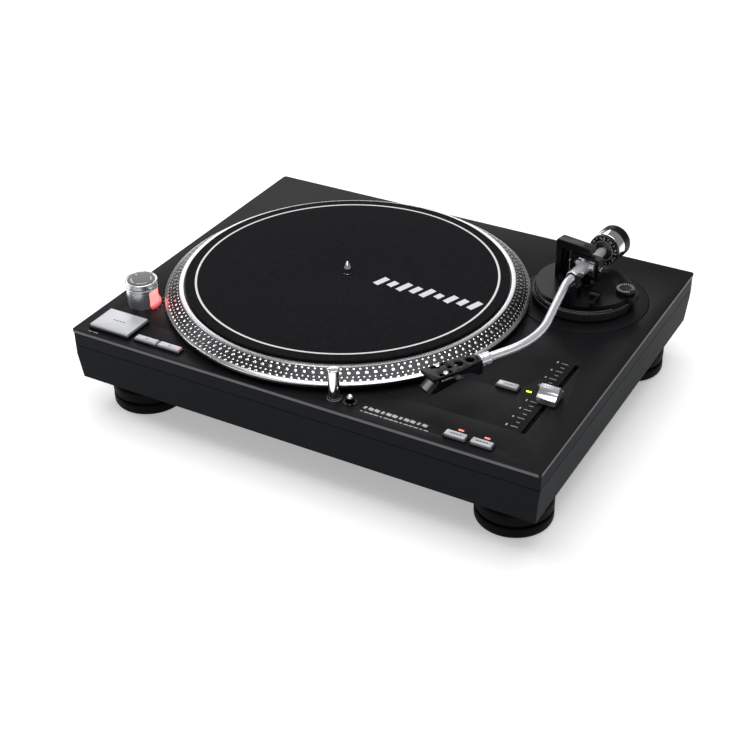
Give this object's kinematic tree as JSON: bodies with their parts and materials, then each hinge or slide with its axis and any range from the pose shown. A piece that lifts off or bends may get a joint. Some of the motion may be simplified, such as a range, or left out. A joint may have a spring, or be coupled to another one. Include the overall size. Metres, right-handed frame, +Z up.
{
  "type": "turntable record player",
  "caption": "Direct-drive record player with an S-shaped tonearm, adjustable arm height, pitch slider, strobe tower and pop-up stylus lamp.",
  "frame": {"origin": "on the floor under the middle of the plinth", "axes": "+X to the right along the front edge, +Y to the back, +Z up"},
  "size_m": [0.45, 0.352, 0.1411],
  "materials": {
    "deck_paint": "smooth satin black",
    "side_paint": "satin black",
    "base_plastic": "dark grey black, satin",
    "steel": "plain",
    "dark_steel": "dark",
    "foot_rubber": "matte black",
    "copper": "wound copper",
    "brass": "turned",
    "board": "green board",
    "silver": "satin silver",
    "red_window": "clear red",
    "black_plastic": "black",
    "red_light": "lit red",
    "green_light": "lit yellow green",
    "arm_black": "gloss black",
    "aluminium": "turned and polished",
    "chrome": "polished",
    "felt": "black felt",
    "white_plastic": "white",
    "arm_chrome": "satin chrome",
    "weight_metal": "polished band and black rear"
  },
  "bodies": {
    "plinth": {"deck_plate": "deck_paint", "plinth_cover": "side_paint", "plinth_base": "base_plastic", "weight_plate": "steel", "foot_front_left": "foot_rubber", "foot_front_right": "foot_rubber", "foot_back_left": "foot_rubber", "foot_back_right": "foot_rubber", "base_screws": "steel", "motor_stator": "copper", "bearing_housing": "brass", "control_board": "board", "transformer": "steel", "strobe_housing": "silver", "strobe_window": "red_window", "start_bezel": "black_plastic", "button_bezels": "black_plastic", "red_indicators": "red_light", "pitch_indicator": "green_light", "lamp_guide": "black_plastic", "release_guide": "black_plastic", "fader_body": "black_plastic", "arm_base_plate": "arm_black", "arm_base_sleeve": "arm_black", "height_scale_cover": "black_plastic", "rear_panel": "black_plastic", "phono_jacks": "brass", "ground_terminal": "steel", "mains_inlet": "black_plastic"},
    "platter": {"platter": "aluminium", "magnet_rotor": "dark_steel", "spindle": "chrome", "slipmat": "felt"},
    "start_button": {"start_button": "silver"},
    "speed_button_33": {"speed_button_33": "silver"},
    "speed_button_45": {"speed_button_45": "silver"},
    "option_button_left": {"option_button_left": "silver"},
    "option_button_right": {"option_button_right": "silver"},
    "reset_button": {"reset_button": "silver"},
    "power_knob": {"power_knob": "silver"},
    "popup_lamp": {"popup_lamp": "chrome"},
    "lamp_release": {"lamp_release": "chrome"},
    "pitch_cap": {"pitch_cap": "silver"},
    "line_switch": {"line_switch": "white_plastic"},
    "height_ring": {"height_ring": "arm_black"},
    "arm_pillar": {"arm_pillar": "arm_black", "bearing_arch": "arm_black", "armrest": "black_plastic"},
    "armrest_clip": {"armrest_clip": "black_plastic"},
    "antiskate_knob": {"antiskate_knob": "black_plastic"},
    "cue_lever": {"cue_lever": "black_plastic"},
    "lift_bar": {"lift_bar": "black_plastic"},
    "gimbal": {"gimbal_frame": "arm_black"},
    "tonearm": {"arm_tube": "arm_chrome", "headshell": "arm_black", "cartridge": "black_plastic"},
    "locking_collar": {"locking_collar": "arm_chrome"},
    "thread_bush": {"thread_bush": "brass"},
    "counterweight": {"counterweight": "weight_metal"},
    "weight_dial": {"weight_dial": "black_plastic"}
  },
  "joints": [
    {"name": "platter_turn", "type": "hinge", "parent": "plinth", "child": "platter", "pos_m": [-0.042, -0.005, 0.0965], "axis": [0, 0, -1], "continuous": true},
    {"name": "start_press", "type": "slide", "parent": "plinth", "child": "start_button", "axis": [0, 0, -1], "range_m": [0, 0.0015], "stiffness_N_per_m": 400, "springref_m": -0.003},
    {"name": "speed_33_press", "type": "slide", "parent": "plinth", "child": "speed_button_33", "axis": [0, 0, -1], "range_m": [0, 0.001], "stiffness_N_per_m": 200, "springref_m": -0.002},
    {"name": "speed_45_press", "type": "slide", "parent": "plinth", "child": "speed_button_45", "axis": [0, 0, -1], "range_m": [0, 0.001], "stiffness_N_per_m": 200, "springref_m": -0.002},
    {"name": "option_left_press", "type": "slide", "parent": "plinth", "child": "option_button_left", "axis": [0, 0, -1], "range_m": [0, 0.001], "stiffness_N_per_m": 200, "springref_m": -0.002},
    {"name": "option_right_press", "type": "slide", "parent": "plinth", "child": "option_button_right", "axis": [0, 0, -1], "range_m": [0, 0.001], "stiffness_N_per_m": 200, "springref_m": -0.002},
    {"name": "reset_press", "type": "slide", "parent": "plinth", "child": "reset_button", "axis": [0, 0, -1], "range_m": [0, 0.001], "stiffness_N_per_m": 200, "springref_m": -0.002},
    {"name": "power_turn", "type": "hinge", "parent": "plinth", "child": "power_knob", "pos_m": [-0.1965, -0.1083, 0.1065], "axis": [0, 0, 1], "range_deg": [0, 45]},
    {"name": "lamp_rise", "type": "slide", "parent": "plinth", "child": "popup_lamp", "axis": [0, 0, -1], "range_m": [0, 0.0265], "stiffness_N_per_m": 20, "springref_m": -0.03},
    {"name": "lamp_release_press", "type": "slide", "parent": "plinth", "child": "lamp_release", "axis": [0, 0, -1], "range_m": [0, 0.0025], "stiffness_N_per_m": 150, "springref_m": -0.002},
    {"name": "pitch_slide", "type": "slide", "parent": "plinth", "child": "pitch_cap", "axis": [0, 1, 0], "range_m": [-0.0465, 0.0535]},
    {"name": "line_switch_slide", "type": "slide", "parent": "plinth", "child": "line_switch", "axis": [1, 0, 0], "range_m": [0, 0.005]},
    {"name": "height_turn", "type": "hinge", "parent": "plinth", "child": "height_ring", "pos_m": [0.15273, 0.08374, 0.0925], "axis": [0, 0, 1], "range_deg": [0, 300]},
    {"name": "arm_height", "type": "slide", "parent": "plinth", "child": "arm_pillar", "axis": [0, 0, 1], "range_m": [0, 0.006]},
    {"name": "clip_swing", "type": "hinge", "parent": "arm_pillar", "child": "armrest_clip", "pos_m": [0.16081, 0.04316, 0.1228], "axis": [-0.0976, -0.9952, 0], "range_deg": [-40, 60]},
    {"name": "antiskate_turn", "type": "hinge", "parent": "arm_pillar", "child": "antiskate_knob", "pos_m": [0.19073, 0.08374, 0.1035], "axis": [0, 0, 1], "range_deg": [0, 300]},
    {"name": "cue_turn", "type": "hinge", "parent": "arm_pillar", "child": "cue_lever", "pos_m": [0.17173, 0.06074, 0.1067], "axis": [-1, 0, 0], "range_deg": [0, 50]},
    {"name": "lift_rise", "type": "slide", "parent": "arm_pillar", "child": "lift_bar", "axis": [0, 0, 1], "range_m": [0, 0.0036]},
    {"name": "arm_yaw", "type": "hinge", "parent": "arm_pillar", "child": "gimbal", "pos_m": [0.15273, 0.08374, 0.121], "axis": [0, 0, -1], "range_deg": [0, 42]},
    {"name": "arm_pitch", "type": "hinge", "parent": "gimbal", "child": "tonearm", "pos_m": [0.15273, 0.08374, 0.121], "axis": [-0.9833, 0.1822, 0], "range_deg": [0, 8]},
    {"name": "collar_turn", "type": "hinge", "parent": "tonearm", "child": "locking_collar", "pos_m": [0.13744, -0.10151, 0.121], "axis": [-0.5, -0.866, 0], "range_deg": [0, 45]},
    {"name": "weight_travel", "type": "slide", "parent": "tonearm", "child": "thread_bush", "axis": [0.0976, 0.9952, 0], "range_m": [-0.0025, 0.005]},
    {"name": "weight_turn", "type": "hinge", "parent": "thread_bush", "child": "counterweight", "pos_m": [0.15712, 0.12853, 0.121], "axis": [0.0976, 0.9952, 0], "range_deg": [-360, 720]},
    {"name": "dial_turn", "type": "hinge", "parent": "counterweight", "child": "weight_dial", "pos_m": [0.15605, 0.11758, 0.121], "axis": [0.0976, 0.9952, 0], "range_deg": [0, 350]}
  ],
  "couplings": [
    {"joint": "height_turn", "follows": "arm_height", "rad_per_m": 872.66},
    {"joint": "cue_turn", "follows": "lift_rise", "rad_per_m": 242.41},
    {"joint": "weight_turn", "follows": "weight_travel", "rad_per_m": 2513.3}
  ]
}
